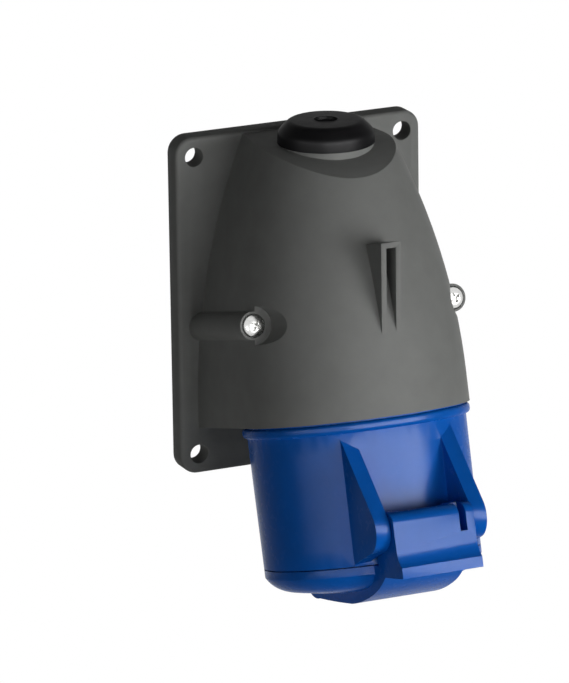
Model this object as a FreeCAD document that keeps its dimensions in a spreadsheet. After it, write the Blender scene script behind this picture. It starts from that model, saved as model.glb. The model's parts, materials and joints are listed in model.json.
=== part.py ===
import FreeCAD, Part
import math
import os

import Sketcher

# Industrial wall socket: a grey hood on a wall plate, with a blue socket that points down and away
# from the wall at 15 degrees, closed by a sprung lid.
#
# Two frames are used. The wall frame has its origin on the wall, in the middle of the four wall
# holes: +Z is up and the socket stands out towards -Y. The socket frame has its origin in the middle
# of the hood's rim: its Z runs up the socket's axis and its -Y points forward, out of the hood.

os.makedirs("parts", exist_ok=True)
doc = FreeCAD.newDocument("wall_socket")
sheet = doc.addObject("Spreadsheet::Sheet", "Sizes")
XAXIS = FreeCAD.Vector(1, 0, 0)
YAXIS = FreeCAD.Vector(0, 1, 0)
ZAXIS = FreeCAD.Vector(0, 0, 1)

# Driving sizes in millimetres and degrees
DIMENSIONS = {
    "clearance": (0.2, "gap between pieces that are put together by hand"),
    "tilt": (15.0, "angle of the socket's axis to the wall"),
    "rim_out": (41.0, "rim centre, distance from the wall"),
    "rim_drop": (25.4, "rim centre, distance below the middle of the wall holes"),
    # Wall plate
    "plate_margin": (5.35, "wall plate, side edge beyond the hood"),
    "plate_depth": (5.8, "wall plate, front to wall"),
    "plate_corner": (5.0, "wall plate, corner radius"),
    "plate_edge": (1.15, "wall plate, rounding of the front edge"),
    "plate_skin": (2.2, "wall plate, thickness of its front wall"),
    "plate_border": (2.45, "wall plate, thickness of its side walls and webs"),
    "hole_span_z": (85.0, "wall holes, up"),
    "hole_side": (5.475, "wall holes, from the plate's side edges"),
    "hole_end": (5.6, "wall holes, from the plate's top and bottom edges"),
    "wall_hole": (5.3, "wall holes, diameter"),
    "pillar_side": (10.9, "solid pillar round each wall hole, side"),
    # Hood
    "bead_step": (0.2, "hood at its rim, beyond the housing's bead"),
    "hood_wall": (2.6, "hood, wall"),
    "hood_straight": (8.0, "height of the hood's straight part above the rim"),
    "hood_arc": (180.0, "hood, radius of its flank as it narrows upwards"),
    "hood_tall": (90.0, "hood, height of the form that the top face cuts"),
    "top_margin": (0.7, "hood's top face below the plate's top edge"),
    "top_flat": (22.0, "end of the level part of the top face, from the wall"),
    "top_arc": (62.0, "radius of the top face where it falls to the front"),
    "top_reach": (60.0, "end of that curve, from the wall"),
    "seal_width": (1.2, "hood seal, width"),
    "seal_height": (1.0, "hood seal and socket seal, height"),
    # Strap rib on the hood's front
    "rib_width": (5.8, "strap rib, across"),
    "rib_bar": (1.5, "strap rib, thickness of its bars"),
    "rib_top": (46.5, "strap rib, top above the rim"),
    "rib_tall": (26.0, "strap rib, length"),
    "rib_back": (7.5, "strap rib, front face behind the rim's front"),
    # Cable entry
    "entry_out": (24.0, "cable entry, distance from the wall"),
    "entry_bore": (19.8, "cable entry, hole in the hood"),
    "collar_radius": (13.1, "collar round the cable entry"),
    "collar_rise": (0.5, "collar, above the top face"),
    "collar_tall": (8.0, "collar, height"),
    "dome_radius": (12.4, "grommet dome, outside"),
    "dome_rise": (5.8, "grommet dome, height"),
    "dome_wall": (1.3, "grommet, wall"),
    "dimple_radius": (3.0, "grommet dimple, radius"),
    "dimple_depth": (0.8, "grommet dimple, depth"),
    "dimple_slope": (0.3, "grommet dimple, how far its side leans out"),
    "dimple_edge": (0.15, "grommet dimple, raised edge"),
    "dome_foot": (0.3, "grommet dome, chamfer at its foot, across"),
    "dome_foot_tall": (0.5, "grommet dome, chamfer at its foot, up"),
    "dome_lean": (0.1, "grommet dome, how far its side leans in"),
    "dome_side": (4.0, "grommet dome, height of its side"),
    "dome_arc": (2.4, "grommet dome, radius of its shoulder"),
    "dome_flat": (9.6, "grommet dome, radius of its flat top"),
    "lip_width": (1.0, "grommet, lip behind the collar"),
    "lip_tall": (2.0, "grommet, height of that lip"),
    "lip_nose": (0.3, "grommet, lip at its lower end"),
    "lip_gap": (0.1, "grommet, gap between lip and collar"),
    # Hood screws and their bosses
    "boss_in": (1.63, "hood screws, axis inside the hood's outside at the rim"),
    "boss_up": (28.0, "hood screws, height above the rim"),
    "boss_front": (7.24, "boss end face, forward of the socket's axis"),
    "boss_radius": (3.9, "boss, outside"),
    "scoop_radius": (5.3, "scoop for the screwdriver"),
    "scoop_lining": (2.08, "wall round each scoop"),
    "screw_size": (4.0, "hood screw, shank diameter"),
    "screw_head": (6.2, "hood screw, head diameter"),
    "screw_head_tall": (2.3, "hood screw, head height"),
    "screw_sink": (1.2, "counterbore under the hood screw's head"),
    "screw_chamfer": (0.5, "screws, chamfer at the tip"),
    "washer_thick": (0.5, "sealing washer, thickness"),
    "insert_size": (5.6, "brass insert, diameter"),
    "insert_length": (3.9, "brass insert, length"),
    "screw_short": (1.0, "hood screw's end, before the insert's end"),
    "insert_sunk": (0.8, "brass insert, below the plate's front"),
    "tower_wall": (1.54, "plate, wall round each brass insert"),
    # Socket housing
    "bead_out": (1.2, "housing, bead beyond the shell"),
    "bead_tall": (2.8, "housing, height of the bead"),
    "bead_line": (0.4, "shadow line between hood and bead"),
    "bead_round": (1.1, "housing, radius of the bead's edges"),
    "seal_in": (1.0, "socket seal, outside the spigot"),
    "socket_seal_width": (1.8, "socket seal's groove, width"),
    "groove_gap": (0.05, "socket seal, gap in its groove"),
    "shell_draft": (0.25, "housing, how much wider it is under the bead than at the mouth"),
    "shell_gap": (2.45, "gap between sleeve and outer wall"),
    "shell_wall": (2.4, "housing, outer wall"),
    "shell_long": (39.2, "rim to mouth"),
    "mouth_bore": (23.0, "sleeve that takes the plug's shroud, inside radius"),
    "sleeve_wall": (2.0, "sleeve, wall"),
    "web_thick": (3.2, "web between sleeve and shell"),
    "spigot_wall": (2.6, "threaded spigot, outside radius beyond the mouth's bore"),
    "spigot_tall": (8.0, "threaded spigot, height"),
    "key_width": (6.0, "keyway, width"),
    "key_depth": (1.2, "keyway, depth"),
    "key_long": (30.0, "keyway, length"),
    # Hinge
    "hinge_off": (5.6, "hinge axis, forward of the housing's shell"),
    "hinge_down": (29.2, "hinge axis, below the rim"),
    "ear_radius": (6.2, "ear, round end"),
    "ear_inner": (12.2, "ear, inner face from the middle"),
    "ear_thick": (4.2, "ear, thickness"),
    "ear_top": (4.2, "ear, top below the rim"),
    "ear_bed": (5.05, "ear, inner edge behind the shell's front"),
    "ear_foot": (0.4, "ear, foot above the mouth"),
    "pin_size": (3.0, "hinge pin, diameter"),
    "pin_fit": (0.08, "hinge pin, gap in the lid's bore"),
    "pin_sunk": (0.4, "hinge pin, below the ears' outer faces"),
    # Lock ring and carrier
    "ring_wall": (2.7, "lock ring, outside beyond the spigot"),
    "ring_tall": (7.0, "lock ring, height"),
    "ring_lip": (1.4, "lock ring, thickness of its lip"),
    "ring_grips": (12, "lock ring, number of grip notches"),
    "ring_hold": (1.6, "lock ring, how far its lip covers the flange"),
    "grip_depth": (1.0, "grip notch, depth"),
    "grip_width": (3.0, "grip notch, width"),
    "grip_foot": (1.5, "grip notch, start above the ring's foot"),
    "shroud_room": (5.1, "room for the plug's shroud between contact block and sleeve"),
    "block_sunk": (3.2, "contact block, face inside the mouth"),
    "flange_thick": (2.8, "carrier flange, thickness"),
    "step_width": (1.1, "step that carries the flange, width"),
    "step_up": (5.0, "step that carries the flange, above the rim"),
    "barrier_tall": (11.0, "barriers between the terminals, height"),
    "barrier_thick": (1.5, "barriers, thickness"),
    "barrier_gap": (2.3, "barriers, outer end inside the lock ring's lip"),
    "barrier_angle": (60.0, "angle from a contact to the barrier beside it"),
    # Contacts
    "pitch_radius": (9.0, "contacts, from the socket's axis"),
    "live_pin": (5.0, "plug's line and neutral pins, diameter"),
    "earth_pin": (7.0, "plug's earth pin, diameter"),
    "tube_wall": (1.1, "contact tube, wall"),
    "tube_slit": (0.8, "contact tube, slit"),
    "slit_long": (15.0, "contact tube, slit length"),
    "tube_sunk": (3.6, "contact tube, behind the block's face"),
    "tube_depth": (32.0, "contact tube, depth of its bore"),
    "clip_wall": (0.6, "clip round a tube, thickness"),
    "clip_tall": (4.0, "clip round a tube, height"),
    "terminal_side": (9.0, "terminal, width"),
    "terminal_tall": (11.0, "terminal, height"),
    "seat_depth": (1.0, "terminal, depth of its seat in the flange"),
    "terminal_floor": (2.0, "terminal, floor under the wire"),
    "term_screw_up": (6.05, "terminal screw, height above the seat"),
    "wire_space": (4.4, "terminal, opening for the wire"),
    "clamp_thick": (0.8, "wire clamp, thickness"),
    "clamp_tall": (6.0, "wire clamp, height"),
    "term_screw": (3.0, "terminal screw, diameter"),
    "term_head": (5.4, "terminal screw, head diameter"),
    "term_head_tall": (1.8, "terminal screw, head height"),
    # Lid
    "lid_gap": (0.3, "gap between mouth and lid"),
    "lid_band": (2.2, "lid, straight band"),
    "lid_wall": (2.2, "lid, wall"),
    "shoulder_in": (5.75, "lid, start of its dome inside its edge"),
    "lid_shoulder_down": (6.5, "lid, height of its shoulder"),
    "lid_dome_down": (8.8, "lid, height of its dome"),
    "room_ledge": (0.7, "lid, ledge inside the seal"),
    "seal_inside": (1.8, "lid seal, inner edge inside the mouth's bore"),
    "lid_rim": (3.05, "lid seal, outer edge inside the lid's edge"),
    "lid_seal_tall": (2.2, "lid seal, height"),
    "seal_touch": (0.1, "gap between lid seal and mouth"),
    "seal_room": (0.3, "gap round the lid seal"),
    "room_rise": (1.54, "lid, edge of the room above the shoulder"),
    "lid_dome_arc": (132.75, "lid, radius of its dome"),
    "lid_shoulder_arc": (8.85, "lid, radius of its shoulder"),
    "hinge_width": (23.8, "lid's hinge block, across"),
    "hinge_face": (7.8, "hinge block, flat face forward of the hinge axis"),
    "hinge_clear": (0.4, "hinge block, gap to the housing's shell"),
    "tab_out": (10.0, "thumb tab, edge forward of the hinge axis"),
    "tab_thick": (2.9, "thumb tab, thickness"),
    "tab_drop": (0.2, "thumb tab, top below the lid's edge"),
    "tab_arc": (6.5, "hollow between thumb tab and flat face, radius"),
    "tab_root": (1.7, "thumb tab, root behind the hinge axis"),
    "face_foot": (3.8, "flat face, foot above the lid's edge"),
    "face_up": (1.5, "flat face, top above the hinge axis"),
    "crest_up": (4.2, "hinge block, top above the hinge axis"),
    "crest_arc": (3.6, "hinge block, radius of its front top edge"),
    "crest_front": (2.6, "hinge block, depth of that edge"),
    "crest_back": (1.0, "end of the flat top, forward of the hinge axis"),
    "bridge_down": (11.0, "bridge under the lid, depth"),
    "heel_in": (3.6, "bridge, heel inside the start of the dome"),
    "bridge_heel_up": (0.3, "bridge, heel above the shoulder"),
    "bridge_heel_arc": (8.0, "bridge, radius at the heel"),
    "bridge_back": (12.0, "bridge, start of the sole behind the axis"),
    "bridge_back_up": (0.75, "bridge, rise of the sole there"),
    "bridge_back_arc": (400.0, "bridge, radius of the sole's back part"),
    "bridge_low": (10.0, "bridge, lowest point forward of the axis"),
    "bridge_front_arc": (60.0, "bridge, radius of the sole's front part"),
    "bridge_toe": (9.2, "bridge, toe behind the hinge axis"),
    "bridge_toe_up": (3.6, "bridge, rise of the sole at the toe"),
    "bridge_toe_arc": (27.0, "bridge, radius of the toe"),
    "bridge_side_up": (0.88, "bridge, inside the lid's wall at its shoulder"),
    "bridge_dome_up": (1.1, "bridge, inside the lid's wall at its middle"),
    "bite": (0.1, "overlap of two forms that are joined"),
    "cut_past": (1.0, "how far a cut runs past the face it opens"),
    "spring_room": (13.6, "room for the spring, across"),
    "spring_front": (3.7, "room for the spring, forward of the hinge axis"),
    "spring_low": (4.0, "room for the spring, below the hinge axis"),
    "spring_back": (2.0, "room for the spring, past the block's back"),
    "leg_near": (7.5, "slot for the spring's leg, near side"),
    "leg_far": (9.6, "slot for the spring's leg, far side"),
    "leg_back": (2.4, "slot for the leg, forward of the hinge axis"),
    "leg_low": (3.2, "slot for the leg, below the hinge axis"),
    # Lid spring
    "coil_radius": (2.6, "lid spring, radius of the wire's middle line"),
    "wire_size": (1.0, "lid spring, wire"),
    "coil_pitch": (1.6, "lid spring, pitch"),
    "coil_turns": (6, "lid spring, turns"),
    "leg_tail": (1.0, "lid spring, end of the other leg past the coil"),
}


class Size:
    """A length: its number, and the formula that ties it to the sheet."""

    def __init__(self, number, formula):
        self.number = number
        self.formula = formula

    def __add__(self, other):
        other = size_of(other)
        return Size(self.number + other.number, f"({self.formula} + {other.formula})")

    def __sub__(self, other):
        other = size_of(other)
        return Size(self.number - other.number, f"({self.formula} - {other.formula})")

    def __mul__(self, other):
        other = size_of(other)
        return Size(self.number * other.number, f"({self.formula} * {other.formula})")

    def __truediv__(self, other):
        other = size_of(other)
        return Size(self.number / other.number, f"({self.formula} / {other.formula})")

    def __neg__(self):
        return Size(-self.number, f"(0 - {self.formula})")

    def __radd__(self, other):
        return size_of(other) + self

    def __rsub__(self, other):
        return size_of(other) - self

    def __rmul__(self, other):
        return size_of(other) * self


def size_of(value):
    """A plain number is a size that is tied to nothing."""
    if isinstance(value, Size):
        return value
    return Size(float(value), f"{float(value):.6f}")


def root(value):
    return Size(math.sqrt(value.number), f"sqrt({value.formula})")


def sine(angle):
    return Size(math.sin(math.radians(angle.number)), f"sin({angle.formula} * 1deg)")


def cosine(angle):
    return Size(math.cos(math.radians(angle.number)), f"cos({angle.formula} * 1deg)")


class Sizes:
    """The driving sizes, by name."""


s = Sizes()
for row, (alias, (number, meaning)) in enumerate(DIMENSIONS.items(), 1):
    sheet.set(f"A{row}", alias)
    sheet.set(f"B{row}", str(number))
    sheet.set(f"C{row}", meaning)
    sheet.setAlias(f"B{row}", alias)
    setattr(s, alias, Size(float(number), f"Sizes.{alias}"))
doc.recompute()

# Sizes that follow from the driving ones. The round pieces grow outwards from the mouth's bore
s.spigot_radius = s.mouth_bore + s.spigot_wall
s.ring_radius = s.spigot_radius + s.ring_wall
s.flange_radius = s.mouth_bore + s.step_width
s.barrier_reach = s.flange_radius - s.ring_hold - s.barrier_gap
s.block_radius = s.mouth_bore - s.shroud_room
s.shell_mouth = s.mouth_bore + s.sleeve_wall + s.shell_gap + s.shell_wall
s.shell_top = s.shell_mouth + s.shell_draft
s.bead_radius = s.shell_top + s.bead_out
s.hood_radius = s.bead_radius + s.bead_step
s.boss_out = s.hood_radius - s.boss_in
s.rib_front = s.rim_out + s.hood_radius - s.rib_back
s.plate_width = (s.hood_radius + s.plate_margin) * 2
s.plate_height = s.hole_span_z + s.hole_end * 2
s.hole_span_x = s.plate_width - s.hole_side * 2
s.top_level = s.plate_height / 2 - s.top_margin
s.hinge_out = s.shell_top + s.hinge_off
s.hinge_back = s.hinge_off - s.hinge_clear
s.lid_radius = s.shell_mouth
s.lid_shoulder = s.lid_radius - s.shoulder_in
s.lid_seal_outer = s.lid_radius - s.lid_rim
s.lid_seal_inner = s.mouth_bore - s.seal_inside
s.lid_room = s.lid_seal_inner - s.room_ledge
s.bridge_heel = s.lid_shoulder - s.heel_in


def bind(thing, **properties):
    """Ties properties of an object to the sheet."""
    for name, value in properties.items():
        thing.setExpression(name, size_of(value).formula)
    return thing


def place(thing, x=0, y=0, z=0, axis=ZAXIS, angle=0):
    """Ties an object's place to the sheet. It is turned about axis first."""
    thing.Placement = FreeCAD.Placement(FreeCAD.Vector(0, 0, 0), FreeCAD.Rotation(axis, 0))
    bind(thing, **{".Placement.Base.x": x, ".Placement.Base.y": y, ".Placement.Base.z": z})
    if isinstance(angle, Size) or angle:
        turn = size_of(angle)
        thing.Placement.Rotation = FreeCAD.Rotation(axis, turn.number)
        bind(thing, **{".Placement.Rotation.Angle": turn})
    return thing


def in_socket_frame(thing):
    """Moves a finished object from the socket frame into the wall frame."""
    return place(thing, 0, -s.rim_out, -s.rim_drop, FreeCAD.Vector(-1, 0, 0), s.tilt)


def box(name, x, y, z):
    """A box between two limits on each axis."""
    block = doc.addObject("Part::Box", name)
    bind(block, Length=size_of(x[1]) - x[0], Width=size_of(y[1]) - y[0], Height=size_of(z[1]) - z[0])
    return place(block, x[0], y[0], z[0])


def rod(name, radius, length, x=0, y=0, z=0, along="z"):
    """A cylinder that starts at a point and runs along an axis: x, y or z."""
    cylinder = doc.addObject("Part::Cylinder", name)
    bind(cylinder, Radius=radius, Height=length)
    axis, angle = {"z": (ZAXIS, 0), "x": (YAXIS, 90), "y": (FreeCAD.Vector(-1, 0, 0), 90)}[along]
    return place(cylinder, x, y, z, axis, angle)


def cut(name, base, *tools):
    """Takes the tools away from the base."""
    tool = tools[0] if len(tools) == 1 else fuse(name + "_tools", *tools)
    result = doc.addObject("Part::Cut", name)
    result.Base = base
    result.Tool = tool
    return result


def fuse(name, *pieces):
    result = doc.addObject("Part::MultiFuse", name)
    result.Shapes = list(pieces)
    return result


def common(name, first, second):
    result = doc.addObject("Part::MultiCommon", name)
    result.Shapes = [first, second]
    return result


def group(name, *pieces):
    """Separate solids that share one node."""
    result = doc.addObject("Part::Compound", name)
    result.Links = list(pieces)
    return result


def arc_between(start, end, radius, bulge):
    """The arc of a radius between two points. A bulge of 1 keeps its middle on the left."""
    chord = end - start
    half = chord.Length / 2
    across = FreeCAD.Vector(-chord.y, chord.x, 0).normalize()
    rise = math.sqrt(max(radius * radius - half * half, 0))
    centre = (start + end) * 0.5 - across * rise * bulge
    middle = centre + across * radius * bulge
    return Part.Arc(start, middle, end).toShape().Curve, centre


def add_outline(sketch, points):
    """A closed outline. A point is (x, y), or (x, y, radius, bulge) where an arc leaves it.

    Every corner is held at its two sizes from the sketch's origin, and every arc at its radius.
    """
    corners = [FreeCAD.Vector(size_of(p[0]).number, size_of(p[1]).number, 0) for p in points]
    count = len(points)
    ends = []
    for index, point in enumerate(points):
        start = corners[index]
        end = corners[(index + 1) % count]
        if len(point) == 2:
            edge = sketch.addGeometry(Part.LineSegment(start, end), False)
            ends.append((edge, 1, 2))
            continue
        radius = size_of(point[2])
        circle, centre = arc_between(start, end, radius.number, point[3])
        first = math.atan2(start.y - centre.y, start.x - centre.x)
        last = math.atan2(end.y - centre.y, end.x - centre.x)
        clockwise = point[3] > 0
        if clockwise:
            first, last = last, first
        if last < first:
            last += 2 * math.pi
        round_edge = Part.Circle(centre, FreeCAD.Vector(0, 0, 1), radius.number)
        edge = sketch.addGeometry(Part.ArcOfCircle(round_edge, first, last), False)
        ends.append((edge, 2, 1) if clockwise else (edge, 1, 2))
    for index, point in enumerate(points):
        edge, start, _ = ends[index]
        before, _, end = ends[index - 1]
        sketch.addConstraint(Sketcher.Constraint("Coincident", before, end, edge, start))
        for direction, axis, value in (("DistanceX", -2, point[0]), ("DistanceY", -1, point[1])):
            value = size_of(value)
            if value.formula == "0.000000":
                sketch.addConstraint(Sketcher.Constraint("PointOnObject", edge, start, axis))
                continue
            rule = Sketcher.Constraint(direction, -1, 1, edge, start, value.number)
            number = sketch.addConstraint(rule)
            sketch.setExpression(f"Constraints[{number}]", value.formula)
        if len(point) > 2:
            radius = size_of(point[2])
            rule = Sketcher.Constraint("Radius", edge, radius.number)
            number = sketch.addConstraint(rule)
            sketch.setExpression(f"Constraints[{number}]", radius.formula)


def new_sketch(body, name, plane):
    """A sketch on one of the body's own origin planes: XY, XZ or YZ."""
    sketch = body.newObject("Sketcher::SketchObject", name)
    role = f"{plane}_Plane"
    for feature in body.Origin.OriginFeatures:
        if feature.Role == role:
            sketch.AttachmentSupport = [(feature, "")]
    sketch.MapMode = "FlatFace"
    return sketch


def turned(name, points):
    """A body turned about Z. Points are (radius, height)."""
    body = doc.addObject("PartDesign::Body", name)
    sketch = new_sketch(body, name + "_outline", "XZ")
    add_outline(sketch, points)
    spin = body.newObject("PartDesign::Revolution", name + "_spin")
    spin.Profile = sketch
    spin.ReferenceAxis = (sketch, ["V_Axis"])
    spin.Angle = 360
    body.Tip = spin
    return body


def plate_of(name, plane, points, start, end):
    """A body with the given outline, between two planes across the sketch's own normal."""
    body = doc.addObject("PartDesign::Body", name)
    sketch = new_sketch(body, name + "_outline", plane)
    add_outline(sketch, points)
    bind(sketch, **{".AttachmentOffset.Base.z": start})
    pad = body.newObject("PartDesign::Pad", name + "_pad")
    pad.Profile = sketch
    bind(pad, Length=size_of(end) - start)
    body.Tip = pad
    return body


SUBPARTS = {}


def keep(node, thing):
    """Names a finished sub-part. Its label is its file's name."""
    thing.Label = node
    SUBPARTS[node] = thing
    return thing


# Wall plate: a tray that is open to the wall, with webs and a solid pillar round each wall hole
def wall_plate():
    half_x = s.plate_width / 2
    half_z = s.plate_height / 2
    body = doc.addObject("PartDesign::Body", "plate_blank")
    sketch = new_sketch(body, "plate_outline", "XZ")
    corner = s.plate_corner
    flat_x = half_x - corner
    flat_z = half_z - corner
    add_outline(sketch, [
        (-flat_x, -half_z), (flat_x, -half_z, corner, -1), (half_x, -flat_z), (half_x, flat_z, corner, -1),
        (flat_x, half_z), (-flat_x, half_z, corner, -1), (-half_x, flat_z), (-half_x, -flat_z, corner, -1)])
    pad = body.newObject("PartDesign::Pad", "plate_pad")
    pad.Profile = sketch
    bind(pad, Length=s.plate_depth)
    doc.recompute()
    front = [f"Face{i + 1}" for i, face in enumerate(pad.Shape.Faces)
             if face.normalAt(0, 0).y < -0.99]
    rounding = body.newObject("PartDesign::Fillet", "plate_rounding")
    rounding.Base = (pad, front)
    bind(rounding, Radius=s.plate_edge)
    body.Tip = rounding

    border = s.plate_border
    hole_x = s.hole_span_x / 2
    hole_z = s.hole_span_z / 2
    half_pillar = s.pillar_side / 2
    depth = (-(s.plate_depth - s.plate_skin), 0)
    tray_x = hole_x - half_pillar
    tray_z = half_z - border
    side_z = hole_z - half_pillar
    pockets = [box("tray_pocket", (-tray_x, tray_x), depth, (-tray_z, tray_z))]
    holes = []
    near = tray_x + border
    far = half_x - border
    for side, across in ((-1, (-far, -near)), (1, (near, far))):
        pockets.append(box("side_pocket", across, depth, (-side_z, side_z)))
        for level in (-1, 1):
            holes.append(rod("wall_hole", s.wall_hole / 2, s.plate_depth * 2, side * hole_x,
                             -s.plate_depth * 1.5, level * hole_z, "y"))
    tray = cut("plate_tray", body, *pockets)
    slab = box("plate_slab", (-half_x, half_x), (-s.plate_depth, 0), (-half_z, half_z))
    towers = common("insert_towers", in_socket_frame(fuse("tower_rods", *screw_rods(
        "tower", s.insert_size / 2 + s.tower_wall, tower_start, tower_long))), slab)
    insert_holes = in_socket_frame(fuse("insert_holes", *screw_rods(
        "insert_hole", s.insert_size / 2, tower_start, s.insert_length - insert_front)))
    solid = fuse("plate_with_towers", tray, towers)
    return keep("back_plate", cut("plate_final", solid, *holes, insert_holes))


def screw_rods(name, radius, start, length):
    """A rod on each hood screw's axis. Start is its front end, forward of the socket's axis."""
    return [rod(name, radius, length, side * s.boss_out, -start, s.boss_up, "y") for side in (-1, 1)]


# Where the axis of a hood screw meets the plate's front, forward of the socket's axis
meet = (s.plate_depth - s.rim_out + s.boss_up * sine(s.tilt)) / cosine(s.tilt)
insert_front = meet - s.insert_sunk
tower_start = 0
tower_long = s.rim_out * 2


# Hood: a D-shaped shell. Its front is half a turned form, and its flanks run straight to the wall
def hood_form(name, inset, floor):
    """The hood's form, with every face moved inwards by inset. It starts at floor above the rim."""
    radius = s.hood_radius - inset
    straight = s.hood_straight
    tall = s.hood_tall
    flank = s.hood_arc - inset
    climb = tall - straight
    top = s.hood_radius - s.hood_arc + root(flank * flank - climb * climb)
    body = turned(name, [
        (0, floor), (radius, floor), (radius, straight, flank, -1), (top, tall), (0, tall)])
    sketch = new_sketch(body, name + "_flanks", "XZ")
    add_outline(sketch, [
        (-radius, floor), (radius, floor), (radius, straight, flank, -1), (top, tall),
        (-top, tall, flank, -1), (-radius, straight)])
    pad = body.newObject("PartDesign::Pad", name + "_back")
    pad.Profile = sketch
    pad.Reversed = True
    bind(pad, Length=s.rim_out * 1.5)
    body.Tip = pad
    return in_socket_frame(body)


def room_form(name, inset):
    """What lies in front of the plate and under the top face, in the wall frame."""
    level = s.top_level - inset
    curve = s.top_arc - inset
    reach = s.top_reach - s.top_flat
    low = level - curve + root(curve * curve - reach * reach)
    far = s.rim_out * 3
    deep = -s.plate_height
    return plate_of(name, "YZ", [
        (-s.plate_depth, deep), (-s.plate_depth, level), (-s.top_flat, level, curve, -1),
        (-s.top_reach, low), (-far, low), (-far, deep)], -s.plate_width, s.plate_width)


def hood_solid(name, inset):
    return common(name, hood_form(name + "_form", inset, inset), room_form(name + "_room", inset))


def hood_seal():
    """A cord seal in the middle of the hood's back edge, with a ring round each screw."""
    inset = (s.hood_wall - s.seal_width) / 2
    outside = hood_solid("seal_outside", inset)
    inside = hood_solid("seal_inside", inset + s.seal_width)
    path = cut("seal_path", outside, inside)
    rings = in_socket_frame(fuse("seal_rings", *screw_rods(
        "seal_ring", s.boss_radius - s.clearance, tower_start, tower_long)))
    slab = box("seal_slab", (-s.plate_width, s.plate_width), (-s.plate_depth - s.seal_height, -s.plate_depth),
               (-s.plate_height, s.plate_height))
    holes = in_socket_frame(fuse("seal_holes", *screw_rods("seal_hole", s.screw_size / 2 + s.clearance,
                                                          tower_start, tower_long)))
    flat = common("seal_flat", fuse("seal_all", path, rings), slab)
    return keep("hood_gasket", cut("seal_final", flat, holes))


def hood(seal):
    outside = hood_form("hood_outside", 0, 0)
    half = s.rib_width / 2
    deep = (-(s.hood_radius + s.rib_width * 3), -s.hood_radius / 2)
    foot = s.rib_top - s.rib_tall
    rib_block = box("rib_block", (-half, half), deep, (foot, s.rib_top))
    gap = half - s.rib_bar
    rib_slot = box("rib_slot", (-gap, gap), (deep[0] * 1.5, -s.hood_radius / 3),
                   (foot - s.rib_bar, s.rib_top - s.rib_bar))
    rib_limit = box("rib_limit", (-s.rib_width, s.rib_width), (-s.rib_front, 0),
                    (-s.plate_height, s.plate_height))
    rib = common("rib", in_socket_frame(cut("rib_shape", rib_block, rib_slot)), rib_limit)
    scoop_back = s.boss_front + s.hood_wall
    scoop_long = s.hood_radius
    scoop_walls = in_socket_frame(fuse("scoop_walls", *screw_rods(
        "scoop_wall", s.scoop_radius + s.scoop_lining, s.boss_front + scoop_long, scoop_long + s.hood_wall)))
    inside = hood_solid("hood_inside", s.hood_wall)
    shell = cut("hood_shell", fuse("hood_and_rib", outside, rib), inside)
    linings = common("scoop_linings", scoop_walls, outside)
    bosses = in_socket_frame(fuse("bosses", *screw_rods("boss", s.boss_radius, s.boss_front, tower_long)))
    blank = common("hood_blank", fuse("hood_parts", shell, linings, bosses), room_form("hood_room", 0))
    level = s.top_level + s.collar_rise
    collar = rod("collar", s.collar_radius, s.collar_tall, 0, -s.entry_out, level - s.collar_tall)
    entry = rod("entry_hole", s.entry_bore / 2, s.collar_tall * 2, 0, -s.entry_out,
                level - s.collar_tall * 1.5)
    scoops = in_socket_frame(fuse("scoops", *screw_rods(
        "scoop", s.scoop_radius, s.boss_front + scoop_long, scoop_long)))
    sink = s.boss_front - s.screw_sink
    sinks = in_socket_frame(fuse("screw_sinks", *screw_rods(
        "screw_sink", s.screw_head / 2 + s.clearance, s.boss_front + s.screw_sink, s.screw_sink * 2)))
    holes = in_socket_frame(fuse("screw_holes", *screw_rods(
        "screw_hole", s.screw_size / 2 + s.clearance, sink + s.screw_sink, tower_long)))
    opening = in_socket_frame(rod("floor_opening", s.spigot_radius + s.clearance, s.hood_wall * 3, 0, 0,
                                  -s.hood_wall))
    solid = fuse("hood_with_collar", blank, collar)
    return keep("hood", cut("hood_final", solid, entry, scoops, sinks, holes, opening, seal))


def grommet():
    """A rubber dome with a dimple. Its neck snaps through the collar."""
    seat = s.top_level + s.collar_rise
    foot = seat - s.collar_tall
    neck = s.entry_bore / 2 - s.clearance / 2
    wall = s.dome_wall
    dome = s.dome_radius
    crown = seat + s.dome_rise
    flat = s.dome_flat
    lip = s.lip_width
    body = turned("grommet_body", [
        (dome - s.dome_foot, seat), (dome, seat + s.dome_foot_tall),
        (dome - s.dome_lean, seat + s.dome_side, s.dome_arc, -1), (flat, crown),
        (s.dimple_radius + s.dimple_slope, crown + s.dimple_edge), (s.dimple_radius, crown - s.dimple_depth),
        (0, crown - s.dimple_depth), (0, crown - s.dimple_depth - wall), (flat - wall, crown - wall),
        (neck - wall, seat), (neck - wall, foot - s.lip_tall), (neck + s.lip_nose, foot - s.lip_tall),
        (neck + lip, foot - s.lip_gap), (neck, foot - s.lip_gap), (neck, seat)])
    return keep("cable_grommet", place(body, 0, -s.entry_out, 0))


# Hood screws, with their sealing washers and inserts. Each stands on Z with its head's seat at zero
def screw(name, size, length, head, head_tall):
    radius = head / 2
    body = turned(name + "_body", [
        (0, -length), (size / 2 - s.screw_chamfer, -length), (size / 2, s.screw_chamfer - length),
        (size / 2, 0), (radius, 0),
        (radius, head_tall * 0.35, radius * 0.9, -1), (radius * 0.4, head_tall), (0, head_tall)])
    arm = head * 0.3
    thick = head * 0.08
    deep = (head_tall * 0.45, head_tall * 1.5)
    cross = fuse(name + "_cross", box(name + "_arm", (-arm, arm), (-thick, thick), deep),
                 box(name + "_arm", (-thick, thick), (-arm, arm), deep))
    return cut(name, body, cross)


def facing_forward(thing, side, start):
    """Turns an object from Z to the hood screw's axis, with its zero at start."""
    return place(thing, side * s.boss_out, -start, s.boss_up, XAXIS, 90)


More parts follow.
